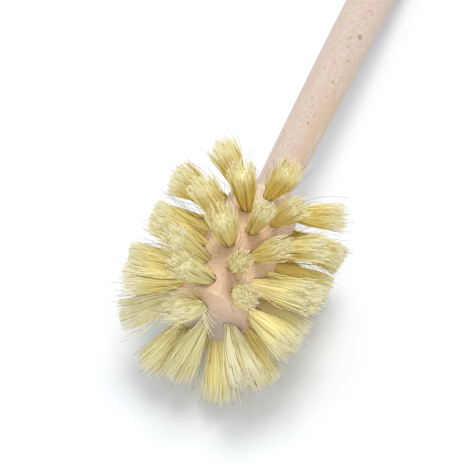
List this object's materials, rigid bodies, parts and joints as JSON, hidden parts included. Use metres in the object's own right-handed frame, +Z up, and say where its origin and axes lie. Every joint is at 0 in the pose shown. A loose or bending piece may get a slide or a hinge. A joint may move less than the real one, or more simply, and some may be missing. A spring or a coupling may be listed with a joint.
{
  "type": "toilet brush",
  "caption": "Toilet brush: a turned handle that swells towards its grip, and a cylindrical wooden head with a flat nose, set with staggered rings of flared plant-fibre tufts.",
  "frame": {"origin": "on the table, below the middle of the brush's box, as the brush lies at rest", "axes": "+Z up from the table, +Y from the nose to the handle's end along the table, +X to the side; the brush's own axis hangs down by 5.8 degrees towards the handle's end"},
  "size_m": [0.086, 0.3834, 0.0863],
  "materials": {
    "beech_handle": "sanded bare beech, matt, with fine ray flecks and a few small knots",
    "beech_core": "turned bare beech, matt, a little warmer than the handle",
    "plant_fibre": "pale yellow dried plant fibre, cut square at the ends, slightly glossy along each strand"
  },
  "bodies": {
    "root": {"handle": "beech_handle", "head_core": "beech_core", "tuft_ring1_1": "plant_fibre", "tuft_ring1_2": "plant_fibre", "tuft_ring1_3": "plant_fibre", "tuft_ring1_4": "plant_fibre", "tuft_ring1_5": "plant_fibre", "tuft_ring1_6": "plant_fibre", "tuft_ring1_7": "plant_fibre", "tuft_ring1_8": "plant_fibre", "tuft_ring2_1": "plant_fibre", "tuft_ring2_2": "plant_fibre", "tuft_ring2_3": "plant_fibre", "tuft_ring2_4": "plant_fibre", "tuft_ring2_5": "plant_fibre", "tuft_ring2_6": "plant_fibre", "tuft_ring2_7": "plant_fibre", "tuft_ring2_8": "plant_fibre", "tuft_ring3_1": "plant_fibre", "tuft_ring3_2": "plant_fibre", "tuft_ring3_3": "plant_fibre", "tuft_ring3_4": "plant_fibre", "tuft_ring3_5": "plant_fibre", "tuft_ring3_6": "plant_fibre", "tuft_ring3_7": "plant_fibre", "tuft_ring3_8": "plant_fibre", "tuft_ring4_1": "plant_fibre", "tuft_ring4_2": "plant_fibre", "tuft_ring4_3": "plant_fibre", "tuft_ring4_4": "plant_fibre", "tuft_ring4_5": "plant_fibre", "tuft_ring4_6": "plant_fibre", "tuft_ring4_7": "plant_fibre", "tuft_ring4_8": "plant_fibre", "tuft_ring5_1": "plant_fibre", "tuft_ring5_2": "plant_fibre", "tuft_ring5_3": "plant_fibre", "tuft_ring5_4": "plant_fibre", "tuft_ring5_5": "plant_fibre", "tuft_ring5_6": "plant_fibre", "tuft_ring5_7": "plant_fibre", "tuft_ring5_8": "plant_fibre", "tuft_ring6_1": "plant_fibre", "tuft_ring6_2": "plant_fibre", "tuft_ring6_3": "plant_fibre", "tuft_ring6_4": "plant_fibre", "tuft_ring6_5": "plant_fibre", "tuft_ring6_6": "plant_fibre", "tuft_ring6_7": "plant_fibre", "tuft_ring6_8": "plant_fibre", "tuft_nose_1": "plant_fibre", "tuft_nose_2": "plant_fibre", "tuft_nose_3": "plant_fibre"}
  },
  "joints": []
}
